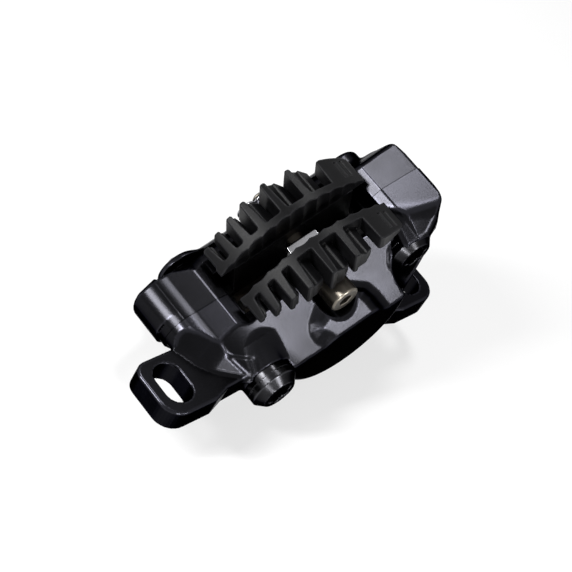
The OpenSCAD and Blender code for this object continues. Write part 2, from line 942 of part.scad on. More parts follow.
outboard_body();
inboard_body();
body_bolt_left();
body_bolt_right();
body_bolt_washers();
piston_outboard_left();
piston_outboard_right();
piston_inboard_left();
piston_inboard_right();
seal_outboard_left();
seal_outboard_right();
seal_inboard_left();
seal_inboard_right();
crossover_o_ring();
passage_plug();
pad_axle();
axle_clip();
outboard_backing_plate();
outboard_lining();
outboard_radiator();
outboard_rivets();
inboard_backing_plate();
inboard_lining();
inboard_radiator();
inboard_rivets();
pad_spring();
bleed_nipple();
bleed_cap();
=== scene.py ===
"""Bicycle disc brake caliper, dressed for a studio photograph on white.

The body halves, bolts, radiators, spring and axle are new surfaces. Each is a
signed distance: plain shapes are joined with round fillets, cut with round
edges, worked out on a grid as whole arrays and meshed, because the fillets
between forged forms can't be had from a surface of two parameters. The other
pieces are the CAD model's own meshes with a procedural finish. Lengths in the
shape functions are millimetres in the body's frame: u along the body, y across
the rotor, outboard below 0, and w outward from the wheel's hub.
"""
import math

import bmesh
import bpy
import numpy as np
from mathutils import Matrix, Vector


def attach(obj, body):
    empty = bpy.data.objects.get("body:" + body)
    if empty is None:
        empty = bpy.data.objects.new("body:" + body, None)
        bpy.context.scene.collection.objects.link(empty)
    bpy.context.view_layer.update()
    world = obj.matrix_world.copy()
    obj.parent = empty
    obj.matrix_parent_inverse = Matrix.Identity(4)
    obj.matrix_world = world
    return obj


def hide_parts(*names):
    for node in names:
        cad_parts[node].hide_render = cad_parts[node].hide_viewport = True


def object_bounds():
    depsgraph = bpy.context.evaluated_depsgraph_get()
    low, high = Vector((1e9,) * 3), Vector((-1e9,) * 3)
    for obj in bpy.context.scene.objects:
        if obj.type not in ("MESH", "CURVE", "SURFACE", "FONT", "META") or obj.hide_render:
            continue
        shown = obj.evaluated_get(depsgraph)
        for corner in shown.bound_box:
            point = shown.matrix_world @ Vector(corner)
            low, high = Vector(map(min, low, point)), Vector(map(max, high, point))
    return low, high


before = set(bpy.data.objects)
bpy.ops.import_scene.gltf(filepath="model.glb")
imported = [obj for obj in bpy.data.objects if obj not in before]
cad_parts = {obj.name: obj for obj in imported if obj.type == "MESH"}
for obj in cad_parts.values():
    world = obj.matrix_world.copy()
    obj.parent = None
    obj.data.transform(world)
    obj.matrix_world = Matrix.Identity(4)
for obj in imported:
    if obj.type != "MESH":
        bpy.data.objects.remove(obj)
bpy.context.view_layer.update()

# ------------------------------------------------------- outboard body half
# One half of the body, forged from aluminium in one piece with both mounting
# ears. Slots, window, bores and pockets are milled, then it is blasted and
# anodised black. Two bolts hold it against the other half.

TILT = math.radians(26)                          # the body leans over the ears
COS, SIN = math.cos(TILT), math.sin(TILT)
BODY_X, BODY_Z = 0.8, 24.8                       # its origin over the ears
END_U, END_W, END_R = -32.3, -5.9, 6.2           # half-round left end
BAND_R = 5.75                                    # the same, beside its raised band
BOLT_U, BOLT_W, BOSS_R = 22.65, -13.3, 5.9       # body bolts, left and right
BOLT_BORE = 3.05
LEFT_SEAT, RIGHT_SEAT = -17, -8.8                # y of the seats under their heads
LEFT_POCKET, RIGHT_POCKET = 6.15, 7.2            # radii of the pockets over the seats
PISTON_U, PISTON_W, HOUSING_R = 9.0, -21.5, 11.7
LEFT_BORE, RIGHT_BORE, BORE_Y = 8.05, 7.55, 15.2  # radii and depth of the pistons' bores
FOOT_W = PISTON_W - HOUSING_R                    # lowest level of the housings
FACE_Y = -19.2                                   # the round side face
AXLE_W, AXLE_BORE = -4.6, 2.05                   # the pads' axle, at u = 0
HEAD_W, HEAD_POCKET, HEAD_SEAT = -5.8, 4.8, -9.6  # the pocket round its head
EAR_X, EAR_Y, EAR_HIGH = 37, -10.1, 6            # the slots' centres, the ears' height
SLOT_R, SLOT_REACH = 3.25, 1.75                  # end radius, half the straight part
FAR_R, NEAR_R = 3.2, 5                           # the ears' two round corners
WINDOW, WINDOW_FLOOR = (-20.5, 19.5), -8
BAY, BAY_Y = 18.5, 5.8                           # room for the pads under the window
ROTOR_W, ROTOR_R, ROTOR_Y = -104.8, 90.5, 2.2    # slot round the rotor's rim
SEAM = 0.07                                      # half the joint: a hairline, drawn wider
STEP = 0.4                # grid of the forgings


def to_mount(u, w):
    """X and Z over the ears of a point at u and w: turned by the tilt, moved."""
    return BODY_X + u * COS - w * SIN, BODY_Z + u * SIN + w * COS


def fillet(a, b, r):
    """Both shapes joined: the smaller distance, and where both are below r the
    distance to the arc of radius r that touches both."""
    return np.maximum(r, np.minimum(a, b)) - np.hypot(np.maximum(r - a, 0), np.maximum(r - b, 0))


def common(a, b, r=0.3):
    """What both shapes share: the larger distance, with the edge between them
    rounded by an arc of radius r inside."""
    return np.minimum(-r, np.maximum(a, b)) + np.hypot(np.maximum(r + a, 0), np.maximum(r + b, 0))


def cut(d, tool, r=0.3):
    """The shape without the tool's, the new edge rounded to radius r."""
    return common(d, -tool, r)


def outline(x, y, points, r=0.0):
    """Distance to a closed outline: the distance to its nearest side, below 0
    inside. Its convex corners are rounded to radius r: the outline is moved in
    by r, measured, and r is taken off the distance."""
    pts = np.array(points, float)
    after = np.roll(pts, -1, 0)
    if np.sum(pts[:, 0] * after[:, 1] - after[:, 0] * pts[:, 1]) < 0:
        pts = pts[::-1]
    if r > 0:
        ahead = np.roll(pts, -1, 0) - pts
        ahead /= np.linalg.norm(ahead, axis=1)[:, None]
        inward = np.c_[-ahead[:, 1], ahead[:, 0]]
        last = np.roll(inward, 1, 0)
        pts = pts + r * (inward + last) / (1 + np.sum(inward * last, 1))[:, None]
    x, y = np.asarray(x, np.float32), np.asarray(y, np.float32)
    best = np.full(np.broadcast(x, y).shape, 1e9, np.float32)
    inside = np.zeros(best.shape, bool)
    for (x0, y0), (x1, y1) in zip(pts, np.roll(pts, -1, 0)):
        ex, ey = x1 - x0, y1 - y0
        t = np.clip(((x - x0) * ex + (y - y0) * ey) / (ex * ex + ey * ey + 1e-12), 0, 1)
        best = np.minimum(best, (x - x0 - ex * t) ** 2 + (y - y0 - ey * t) ** 2)
        if abs(ey) > 1e-9:
            inside ^= ((y0 > y) != (y1 > y)) & (x < ex * (y - y0) / ey + x0)
    d = np.sqrt(best)
    return np.where(inside, -d, d) - r


def disc(x, y, cx, cy, r):
    """Distance to a circle, or to a round bar seen along its axis: the distance
    to its centre less the radius."""
    return np.hypot(x - cx, y - cy) - r


def between(x, lo, hi):
    """Distance to the layer between two levels."""
    return np.abs(x - (lo + hi) / 2) - (hi - lo) / 2


def above(normal, point, x, y, z):
    """Height over the plane through a point, along its normal."""
    return (normal[0] * (x - point[0]) + normal[1] * (y - point[1])
            + normal[2] * (z - point[2]))


def plane(points, x, y, z, inside):
    """Height over the plane through three points, below 0 on the side of the
    point called inside."""
    a, b, c = (np.array(p, float) for p in points)
    n = np.cross(b - a, c - a)
    n /= np.linalg.norm(n)
    if np.dot(n, np.array(inside) - a) > 0:
        n = -n
    return above(n, a, x, y, z)


def side_view(u, w, end_r=END_R):
    """The body seen along its bolts: the deck with the half-round left end,
    joined to the piston housings and the bolts' bosses."""
    deck = outline(u, w, [(END_U, 0.3), (-23.4, -0.7), (-20.5, -1.9), (19.5, -2.1), (22.0, -0.9),
                          (32.7, -2.3), (33.6, -3.3), (33.6, -20.5), (29.6, -24.5), (9, -21.5),
                          (-9, -21.5), (-22.65, -19.2), (END_U, -12.1)], 0.5)
    less = END_R - end_r
    d = fillet(deck, disc(u, w, END_U + 0.6 * less, END_W + less, end_r), 0.4)
    house = np.minimum(disc(u, w, PISTON_U, PISTON_W, HOUSING_R),
                       disc(u, w, -PISTON_U, PISTON_W, HOUSING_R))
    house = np.minimum(house, outline(u, w, [(-PISTON_U, FOOT_W), (PISTON_U, FOOT_W),
                                             (PISTON_U, PISTON_W), (-PISTON_U, PISTON_W)]))
    d = fillet(d, house, 3)
    for side in (-1, 1):
        d = fillet(d, disc(u, w, side * BOLT_U, BOLT_W, BOSS_R), 1.5)
    return d


def ear_slot(x, y, side):
    """Distance to an ear's slot: to a straight line along y, less the radius."""
    along = np.maximum(np.abs(y - EAR_Y) - SLOT_REACH, 0)
    return np.hypot(x * side - EAR_X, along) - SLOT_R


def ear(x, y, z, side):
    """An ear: its outline with a round corner at each end, as a flat slab, the
    slot cut through and every edge broken."""
    root = 18 if side < 0 else 16
    turn = np.radians(np.arange(0, 91, 10))
    far = [(39.85 + FAR_R * np.sin(a), -6.1 + FAR_R * np.cos(a)) for a in turn]
    near = [(38.05 + NEAR_R * np.cos(a), -12.9 - NEAR_R * np.sin(a)) for a in turn]
    plan = outline(x * side, y, [(root, -2.9), *far, *near, (30.5, -17.9), (26, -16.4),
                                 (root, -16)])
    return cut(common(plan, between(z, 0, EAR_HIGH), 0.55), ear_slot(x, y, side), 0.35)


def left_web(x, y, z):
    """The scooped wall that rises from the left ear to the deck's near edge:
    two planes with a round corner between them, and a third beyond a hollow."""
    inside = (-20, -3, 5)
    first = plane([(-34.2, -1.7, 6), (-31.2, -3, 6), (-32.5, -0.5, 9.24)], x, y, z, inside)
    second = plane([(-31.2, -3, 6), (-28.4, -10.4, 6), (-26.8, -6.25, 11.3)], x, y, z, inside)
    third = plane([(-28.4, -10.4, 6), (-23.2, -14.3, 6), (-24.3, -10.95, 10.4)], x, y, z, inside)
    return fillet(first, common(second, third, 1.3), 1.5)


def near_slope(u, y, w):
    """The slope under the near fins: a plane at 44 degrees that sinks slowly
    left of the axle, lies 2.8 lower right of it, and is cut by a second plane at
    the left bolt. A low boss stands round the axle's head: 45 degree flanks on
    a rounded plan, flatter above a crease."""
    whole = above((0, -0.694, 0.72), (0, -7, -0.8), u, y, w)
    corner = above((0.325, -0.581, 0.745), (-23.3, -6.4, -0.72), u, y, w)
    past_bolt, drop, climb = u + 19, 2.8, 3.2    # it climbs again at the right bolt
    left = whole + 0.07 * (past_bolt + np.hypot(past_bolt, 3)) / 2
    right = whole + drop - climb * np.clip((u - 20.5) / 2.5, 0, 1)
    turn = np.clip((u + 3) / 7, 0, 1)
    low = fillet(left * (1 - turn) + right * turn, corner + 6 * np.clip((u + 8) / 8, 0, 1), 1.5)
    down = (-12 - y) / 0.72
    plan = outline(u, down, [(-4.2, -1.2), (-8.2, 3.0), (-8.9, 5.2), (-8.6, 7.2), (-7.2, 9),
                             (-4, 16), (12, 16), (9.8, 9.2), (9.0, 5.4), (7.8, 2.4),
                             (4.3, -0.3), (0, -2.4)], 1.5)
    flank = 0.707 * (plan + whole + 1.0 + 1.8 * turn)
    flat = above((-0.12, -0.41, 0.9), (-5.8, -15.8, -9.3), u, y, w)
    return fillet(low, common(common(flank, whole, 1.2), flat, 0.25), 1.2)


def milled(d, u, y, w):
    """The three cuts that run through both halves: the window on top, the bay
    for the pads under it, and a round layer for the rotor."""
    across = np.abs(y) - BAY_Y
    d = cut(d, np.maximum(np.maximum(between(u, *WINDOW), across), WINDOW_FLOOR - w), 0.3)
    d = cut(d, np.maximum(between(u, -BAY, BAY), across), 0.2)
    return cut(d, np.maximum(disc(u, w, 0, ROTOR_W, ROTOR_R), np.abs(y) - ROTOR_Y), 0.2)


def piston_bores(u, w):
    """Distance to the two bores for the pistons, seen along the bolts."""
    return np.minimum(disc(u, w, -PISTON_U, PISTON_W, LEFT_BORE),
                      disc(u, w, PISTON_U, PISTON_W, RIGHT_BORE))


def outboard_half(u, y, w):
    """The forging: what side view, section, plan and side face share, under the
    slope; then web, corner block, left boss, leg and ears are joined with
    fillets, and the milled cuts are taken out."""
    x, z = to_mount(u, w)
    section = outline(y, w, [(4, 3), (FACE_Y, 3), (FACE_Y, -30.8), (-18.2, -32.4),
                             (-16.2, FOOT_W), (4, FOOT_W)], 0.6)
    plan = outline(u, y, [(-38.5, 4), (-38.5, 0), (-36.5, -0.9), (-33.4, -2.6), (-31.4, -6.8),
                          (-29.2, -15.6), (-28.8, -21.2), (19.5, -21.2), (19.5, -17.2),
                          (24.6, -14), (28.6, -12), (32.1, -9.2), (33.3, -7.4), (33.6, -5.5),
                          (33.6, 4)], 0.9)
    # the side face's rim: two cones, each scaled by its flank's cosine
    r = np.hypot(u + 0.6, w + 14.6)
    behind = y - FACE_Y
    rim = np.minimum((r - 16.2 - 0.91 * behind) * 0.74, (r - 18.2 - 2.3 * (behind - 2.2)) * 0.4)
    profile = side_view(u, w, BAND_R)
    slope = near_slope(u, y, w)
    d = common(common(profile, section, 0.7), common(plan, rim, 0.8), 0.7)
    d = common(d, slope, 0.5)
    # the web from the deck's left end down to the left ear, behind its wall
    top = np.maximum((w - 0.15 + (u - END_U) / 8.8) * 0.994,
                     0.38 * (u + 23.4) + 0.925 * (w + 0.85))
    web = common(np.maximum(top, slope + 0.3), -35.3 - x, 0.4)
    web = np.maximum(web, np.maximum(4.5 - z, x + 15))
    d = common(fillet(d, web, 0.3), left_web(x, y, z), 0.45)
    # the folded corner block over the right bolt
    fold = above((-0.19, -0.56, 0.806), (22.4, -7.0, -1.1), u, y, w)
    block = outline(u, y, [(19, 4), (19, -14), (25.3, -14.2), (29, -12.4), (31.9, -9.5),
                           (32.9, -7.6), (33.6, -5), (33.6, 4)], 0.9)
    block = common(common(profile, block, 0.8), fold, 1.6)
    d = common(fillet(d, common(block, between(w, -9.9, 5), 0.5), 1.2), profile, 0.35)
    # the left boss leans and flares towards the deck
    back = np.minimum(y - LEFT_SEAT, 5.5)
    boss = disc(u - 0.15 * back, w - 0.42 * back, -BOLT_U, BOLT_W, BOSS_R) - 0.2 * back
    d = fillet(d, common(boss * 0.9, between(y, LEFT_SEAT, 4), 0.3), 0.9)
    # the leg under the right end, and the ears
    leg = outline(x, z, [(16, 0), (30.2, 0), (30.2, 6), (32, 26.8), (20, 24.8)], 0.8)
    d = fillet(d, common(leg, between(y, -13, 4), 1.0), 1.5)
    for side in (-1, 1):
        d = fillet(d, ear(x, y, z, side), 0.7)
    # seats for the bolts' and the axle's heads, then the bores
    d = milled(d, u, y, w)
    d = cut(d, np.maximum(disc(u, w, -BOLT_U, BOLT_W, LEFT_POCKET), y - LEFT_SEAT), 0.2)
    d = cut(d, np.maximum(disc(u, w, BOLT_U, BOLT_W, RIGHT_POCKET), y - RIGHT_SEAT), 0.7)
    d = cut(d, np.maximum(disc(u, w, 0, HEAD_W, HEAD_POCKET), y - HEAD_SEAT), 0.5)
    bores = np.minimum(disc(u, w, -BOLT_U, BOLT_W, BOLT_BORE),
                       disc(u, w, BOLT_U, BOLT_W, BOLT_BORE))
    bores = np.minimum(bores, np.maximum(disc(u, w, 0, AXLE_W, AXLE_BORE), y))
    d = cut(d, bores, 0.15)
    d = cut(d, np.maximum(piston_bores(u, w), between(y, -BORE_Y, 0)), 0.2)
    # the slots again, up past what the fillets left over the ears
    for side in (-1, 1):
        d = cut(d, np.maximum(ear_slot(x, y, side), z - EAR_HIGH - 1), 0.3)
    return d


def slope_of(field, at, tiny):
    """The distance's slope at points: its differences over twice a tiny step."""
    return np.stack([field(*(at + tiny * e).T) - field(*(at - tiny * e).T)
                     for e in np.eye(3)], 1) / (2 * tiny)


def edge_ends(axis):
    """Slices that pick the lower and the upper end of the grid's edges."""
    near, far = [slice(None)] * 3, [slice(None)] * 3
    near[axis], far[axis] = slice(0, -1), slice(1, None)
    return tuple(near), tuple(far)


def surface(field, lo, hi, step):
    """Surface nets: one vertex in every grid cell that the surface crosses, at
    the mean of the crossings on its edges, and one four-sided face round every
    grid edge that it crosses. Each vertex then walks down the distance's slope."""
    axes = [np.arange(a, b + step, step, dtype=np.float32) for a, b in zip(lo, hi)]
    d = field(axes[0][:, None, None], axes[1][None, :, None], axes[2][None, None, :])
    d = np.broadcast_to(d, [len(a) for a in axes]).astype(np.float32)
    solid = d < 0
    shape = np.array(d.shape) - 1
    total, count = np.zeros((*shape, 3), np.float32), np.zeros(shape, np.float32)
    for axis in range(3):
        near, far = edge_ends(axis)
        crossed = solid[near] != solid[far]
        where = np.where(crossed, d[near] / np.where(crossed, d[near] - d[far], 1), 0)
        o1, o2 = [k for k in range(3) if k != axis]
        for i, j in ((0, 0), (0, 1), (1, 0), (1, 1)):
            pick = [slice(None)] * 3
            pick[o1], pick[o2] = slice(i, i + shape[o1]), slice(j, j + shape[o2])
            c = crossed[tuple(pick)]
            count += c
            total[..., axis] += np.where(c, where[tuple(pick)], 0)
            total[..., o1] += c * i
            total[..., o2] += c * j
    cells = np.argwhere(count > 0)
    index = np.full(shape, -1, np.int64)
    index[tuple(cells.T)] = np.arange(len(cells))
    local = total[tuple(cells.T)] / count[tuple(cells.T)][:, None]
    verts = np.array([a[0] for a in axes]) + (cells + local) * step
    faces = []
    for axis in range(3):
        o1, o2 = (axis + 1) % 3, (axis + 2) % 3
        near, far = edge_ends(axis)
        at = np.argwhere(solid[near] != solid[far])
        at = at[(at[:, o1] > 0) & (at[:, o2] > 0) & (at[:, o1] < shape[o1])
                & (at[:, o2] < shape[o2])]
        ring = []
        for s1, s2 in ((0, 0), (1, 0), (1, 1), (0, 1)):
            q = at.copy()
            q[:, o1] -= s1
            q[:, o2] -= s2
            ring.append(index[tuple(q.T)])
        ring = np.stack(ring, 1)
        inward = ~solid[near][tuple(at.T)]
        ring[inward] = ring[inward][:, ::-1]
        faces.append(ring)
    for _ in range(3):
        slope = slope_of(field, verts, step * 0.05)
        push = field(*verts.T) / np.maximum(np.sum(slope ** 2, 1), 0.25)
        verts = verts - slope * np.clip(push, -step / 2, step / 2)[:, None]
    return verts, np.concatenate(faces)


def add_mesh(name, verts, faces, field, material, parting=None):
    """Makes the object over the ears, in metres. A half is cut flat at the level
    parting in y and closed there. The shading follows the distance's own slope,
    but the flat cut keeps its flat normal. The edge attribute is the distance's
    second differences added up, which is high on convex edges."""
    mesh = bpy.data.meshes.new(name)
    mesh.from_pydata((verts * 0.001).tolist(), [], faces.tolist())
    if parting is not None:
        bm = bmesh.new()
        bm.from_mesh(mesh)
        out = (0, -math.copysign(1, parting), 0)
        bmesh.ops.bisect_plane(bm, geom=bm.verts[:] + bm.edges[:] + bm.faces[:], dist=1e-7,
                               plane_co=(0, parting * 0.001, 0), plane_no=out, clear_outer=True)
        bmesh.ops.triangle_fill(bm, use_beauty=True, normal=out,
                                edges=[e for e in bm.edges if e.is_boundary])
        bm.to_mesh(mesh)
        bm.free()
    at = np.empty(len(mesh.vertices) * 3)
    mesh.vertices.foreach_get("co", at)
    at = at.reshape(-1, 3) * 1000
    x, z = to_mount(at[:, 0], at[:, 2])
    mesh.vertices.foreach_set("co", (np.stack([x, at[:, 1], z], 1) * 0.001).ravel())
    mesh.materials.append(material)
    mesh.shade_smooth()
    mesh.update()
    slope = slope_of(field, at, 0.02)
    turned = np.stack([slope[:, 0] * COS - slope[:, 2] * SIN, slope[:, 1],
                       slope[:, 0] * SIN + slope[:, 2] * COS], 1)
    turned /= np.linalg.norm(turned, axis=1)[:, None] + 1e-9
    corner = np.empty(len(mesh.loops), np.int64)
    mesh.loops.foreach_get("vertex_index", corner)
    shown = turned[corner]
    if parting is not None:
        own, sides = np.empty(len(mesh.polygons) * 3), np.empty(len(mesh.polygons), np.int64)
        mesh.polygons.foreach_get("normal", own)
        mesh.polygons.foreach_get("loop_total", sides)
        own = np.repeat(own.reshape(-1, 3), sides, 0)
        flat = (np.abs(at[corner, 1] - parting) < 0.002) & (np.abs(own[:, 1]) > 0.999)
        shown = np.where(flat[:, None], own, shown)
    mesh.normals_split_custom_set(shown.tolist())
    reach, least = 0.35, 0.35    # mm to each side, and the bend per mm that isn't an edge
    bend = sum(field(*(at + reach * e).T) + field(*(at - reach * e).T) for e in np.eye(3))
    bend = (bend - 6 * field(*at.T)) / reach ** 2
    edge = mesh.attributes.new("edge", "FLOAT", "POINT")
    edge.data.foreach_set("value", np.clip(bend - least, 0, 1).astype(np.float32))
    piece = bpy.data.objects.new(name, mesh)
    bpy.context.collection.objects.link(piece)
    return piece


def linear(code):
    """A screen colour such as 5a5b5e as linear light: under 0.04045 it is
    divided by 12.92, else (c + 0.055) / 1.055 is raised to 2.4."""
    parts = [int(code[k:k + 2], 16) / 255 for k in (0, 2, 4)]
    return [c / 12.92 if c <= 0.04045 else ((c + 0.055) / 1.055) ** 2.4 for c in parts] + [1]


def add(tree, kind, maths=None, **values):
    """Adds a shader node. A value is a property, a number for an input, or an
    output to link to that input; maths is an operation with its inputs."""
    made = tree.nodes.new(kind)
    if maths:
        made.operation = maths[0]
    for key, value in [*values.items(), *enumerate(maths[1:] if maths else [])]:
        if isinstance(key, str) and hasattr(made, key):
            setattr(made, key, value)
        elif isinstance(value, bpy.types.NodeSocket):
            tree.links.new(value, made.inputs[key])
        else:
            made.inputs[key].default_value = value
    return made


def finish(name, colour, light, metallic, roughness, specular=0.5, tint="ffffff", grain=0.3,
           grain_height=0.004, mottle=6, spread=0.25, bevel=None, uneven=0.1):
    """One metal, ceramic or rubber. Its colour goes up to spread of the way to
    the lighter one in clouds mottle mm wide and in the grain, and 0.6 of the
    way on worn edges. The grain, of the given width and height in mm, tilts the
    normal and moves the roughness by the share called uneven. Edges are those
    of the mesh's edge attribute or, with a bevel in mm, where the bevelled
    normal leaves the face's own."""
    m = bpy.data.materials.new(name)
    m.use_nodes = True
    t = m.node_tree
    bsdf = t.nodes["Principled BSDF"]
    bsdf.inputs["Metallic"].default_value = metallic
    bsdf.inputs["Specular IOR Level"].default_value = specular
    bsdf.inputs["Specular Tint"].default_value = linear(tint)
    where = add(t, "ShaderNodeTexCoord").outputs["Object"]
    cloud = add(t, "ShaderNodeTexNoise", Vector=where, Scale=1000 / mottle,
                Detail=3.0).outputs["Fac"]
    speck = add(t, "ShaderNodeTexNoise", Vector=where, Scale=1000 / grain, Detail=2.0,
                Roughness=0.7).outputs["Fac"]
    own = add(t, "ShaderNodeNewGeometry").outputs["Normal"]
    if bevel is None:
        wear = add(t, "ShaderNodeAttribute", attribute_name="edge").outputs["Fac"]
        normal = own
    else:
        normal = add(t, "ShaderNodeBevel", samples=6, Radius=bevel * 0.001).outputs["Normal"]
        same = add(t, "ShaderNodeVectorMath", ("DOT_PRODUCT", normal, own)).outputs["Value"]
        wear = add(t, "ShaderNodeMapRange", Value=same,
                   **{"From Min": 1.0, "From Max": 0.8}).outputs["Result"]
    parts = add(t, "ShaderNodeMapRange", Value=cloud,
                **{"From Min": 0.35, "From Max": 0.75, "To Max": spread}).outputs["Result"]
    dots = add(t, "ShaderNodeMapRange", Value=speck,
               **{"From Min": 0.55, "From Max": 0.8, "To Max": spread}).outputs["Result"]
    worn = add(t, "ShaderNodeMath", ("MULTIPLY", wear, 0.6)).outputs["Value"]
    total = add(t, "ShaderNodeMath", ("ADD", parts, dots)).outputs["Value"]
    total = add(t, "ShaderNodeMath", ("MAXIMUM", total, worn)).outputs["Value"]
    shade = add(t, "ShaderNodeMix", data_type="RGBA", Factor=total)
    shade.inputs["A"].default_value = shade.inputs[6].default_value = linear(colour)
    shade.inputs["B"].default_value = shade.inputs[7].default_value = linear(light)
    t.links.new(shade.outputs[2], bsdf.inputs["Base Color"])
    rough = add(t, "ShaderNodeMapRange", Value=speck,
                **{"From Min": 0.3, "From Max": 0.7, "To Min": roughness * (1 - uneven),
                   "To Max": roughness * (1 + uneven)}).outputs["Result"]
    t.links.new(rough, bsdf.inputs["Roughness"])
    bump = add(t, "ShaderNodeBump", Height=speck, Normal=normal, Distance=grain_height * 0.001)
    t.links.new(bump.outputs["Normal"], bsdf.inputs["Normal"])
    return m


def dress(material, *nodes):
    """Gives CAD nodes a material in place of their plain one."""
    for node in nodes:
        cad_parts[node].data.materials.clear()
        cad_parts[node].data.materials.append(material)


# Forged aluminium, blasted with fine beads and anodised: a nearly black metal
# with long soft fades, a little lighter along handled edges. The beads' marks
# are about 0.05 mm wide, and are drawn 0.3 mm wide so that they show.
ANODISED = finish("satin_black_anodised_aluminium", "18181a", "34343a", 1.0, 0.22,
                  tint="5a5a60", grain=0.3, grain_height=0.008, mottle=9, spread=0.14,
                  uneven=0.15)
dress(ANODISED, "outboard_body")
outboard = add_mesh("outboard_forging",
                    *surface(outboard_half, (-51, -22, -42), (36, 1, 3), STEP),
                    outboard_half, ANODISED, -SEAM)
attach(outboard, "housing")
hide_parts("outboard_body")

# -------------------------------------------------------- inboard body half
# The far half, forged, milled and anodised as the first. It holds the threads
# for the body bolts and the axle, the hose port and the bleed port.

BLEED_U, BLEED_W, BLEED_BORE = 29.6, -22.4, 2.55       # port behind the right end
BAND_Y = 2.1                                           # width of the raised band
LEFT_BOSS_R, RIGHT_BOSS_R = 5.5, 5.3
HOSE_Y, HOSE_W, HOSE_R, HOSE_U = 7, -9.6, 3.5, 27.2    # port in the right end


def inboard_half(u, y, w):
    """What side view, section and plan share, joined with fillets to the two
    bolt bosses, a ball in the left one's end, and the bosses for axle and bleed
    port; then the milled cuts and the bores are taken out."""
    further = 2.1 * np.clip((-23 - u) / 5, 0, 1)    # how far the left end stands out
    section = outline(y - further, w, [(-7, 3), (9.2, 3), (9.2, -0.8), (12.8, -4.2), (14.4, -7),
                                       (16.9, -12.5), (16.9, -26.2), (13.9, -31.6),
                                       (10.9, FOOT_W), (-7, FOOT_W)], 0.6)
    right = outline(y, w, [(-4, 3), (7.6, 3), (7.6, -0.8), (9.2, -3.6), (10.8, -6.8),
                           (12.4, -9.6), (13.4, -12), (13.4, FOOT_W), (-4, FOOT_W)], 0.6)
    section = np.where(u < 20.5, section, np.maximum(section, right))
    plan = outline(u, y, [(-38.5, -4), (-38.5, 11), (-35.5, 11.6), (-25.65, 14.4),
                          (-20.65, 16.9), (17, 16.9), (22, 13.4), (29.6, 12.2), (31.9, 9.6),
                          (33, 7.4), (33.6, 5), (33.6, -4)], 0.9)
    # the raised band stands along the parting plane, past the narrower end
    profile = np.minimum(side_view(u, w, BAND_R), common(side_view(u, w), BAND_Y - y, 0.3))
    d = common(common(profile, section, 0.8), plan, 0.8)
    # blind bosses for the body bolts, with a slot behind the left one
    left = common(disc(u, w, -BOLT_U, BOLT_W, LEFT_BOSS_R), between(y, -4, 16.8), 0.9)
    right = common(disc(u, w, BOLT_U, BOLT_W, RIGHT_BOSS_R), between(y, -4, 15.6), 1.2)
    slot = outline(u, w, [(-31, 3), (-31, -8), (-27.6, -17.6), (-17.9, -17.6), (-17.4, -9),
                          (-18.6, 3)], 1.5)
    d = cut(fillet(d, left, 1.2), np.maximum(slot, between(y, 11.4, 15.2)), 0.5)
    ball = np.hypot(np.hypot(u + BOLT_U, w - BOLT_W) - 2.75, y - 15.1) - 0.35
    d = fillet(fillet(d, ball, 0.15), right, 1.2)
    # bosses for the axle's thread and the bleed port
    d = fillet(d, common(disc(u, w, 0, AXLE_W, 4.5), between(y, 6, 14.4), 0.5), 1.0)
    d = fillet(d, common(disc(u, w, BLEED_U, BLEED_W, 4), between(y, 4, 12.6), 0.4), 1.0)
    d = milled(d, u, y, w)
    bores = np.minimum(np.maximum(disc(u, w, -BOLT_U, BOLT_W, BOLT_BORE), y - 12.9),
                       np.maximum(disc(u, w, BOLT_U, BOLT_W, BOLT_BORE), y - 12.3))
    bores = np.minimum(bores, disc(u, w, 0, AXLE_W, AXLE_BORE))
    bores = np.minimum(bores, np.maximum(disc(u, w, BLEED_U, BLEED_W, BLEED_BORE), 4.4 - y))
    bores = np.minimum(bores, np.maximum(disc(u, w, -BOLT_U, BOLT_W, 2.32), 14.0 - y))
    d = cut(d, bores, 0.15)
    d = cut(d, np.maximum(piston_bores(u, w), between(y, 0, BORE_Y)), 0.2)
    return cut(d, np.maximum(disc(y, w, HOSE_Y, HOSE_W, HOSE_R), HOSE_U - u), 0.5)


dress(ANODISED, "inboard_body")
inboard = add_mesh("inboard_forging",
                   *surface(inboard_half, (-40, -1, -35), (37, 18, 2), STEP),
                   inboard_half, ANODISED, SEAM)
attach(inboard, "housing")
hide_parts("inboard_body")

# -------------------------------------------------------- pistons and seals
# Four cups, ground from ceramic, slide in square-cut rubber seals. A rubber
# ring seals the fluid's way across the joint, and a steel plug closes the
# drilled passage.

# Ground ceramic: an even off-white with a soft gloss, too fine a grain to see.
CERAMIC = finish("off_white_ceramic", "d6d2c6", "e4e1d8", 0.0, 0.25, 0.5, grain=0.4,
                 grain_height=0.001, bevel=0.2)
# Moulded rubber: black with no mirror, only a wide dull sheen.
RUBBER = finish("matt_black_rubber", "101011", "1c1c1d", 0.0, 0.7, 0.3, grain=0.3, bevel=0.2)
# Stainless steel, turned or rolled: bright and nearly a mirror. The rolling
# marks are a few hundredths of a millimetre wide, drawn 0.2 mm wide.
STAINLESS = finish("bright_stainless_steel", "8e8e91", "b4b4b8", 1.0, 0.18, grain=0.2,
                   grain_height=0.002, bevel=0.15)
PLACES = ("outboard_left", "outboard_right", "inboard_left", "inboard_right")
dress(CERAMIC, *["piston_" + place for place in PLACES])
dress(RUBBER, *["seal_" + place for place in PLACES], "crossover_o_ring")
dress(STAINLESS, "passage_plug")

# --------------------------------------------------- body bolts and washers
# Two steel bolts, turned, with a chamfered head and a six-lobed recess, and
# blackened. Each goes through the outboard half into the other's thread, over a
# black washer.

HEAD_R, SHANK_R, WASHER = 5.85, 3, 1.4
RECESS_R, LOBE_R = 2.46, 0.74
LEFT_END, RIGHT_END = 12.6, 12.0                 # y of the shanks' ends


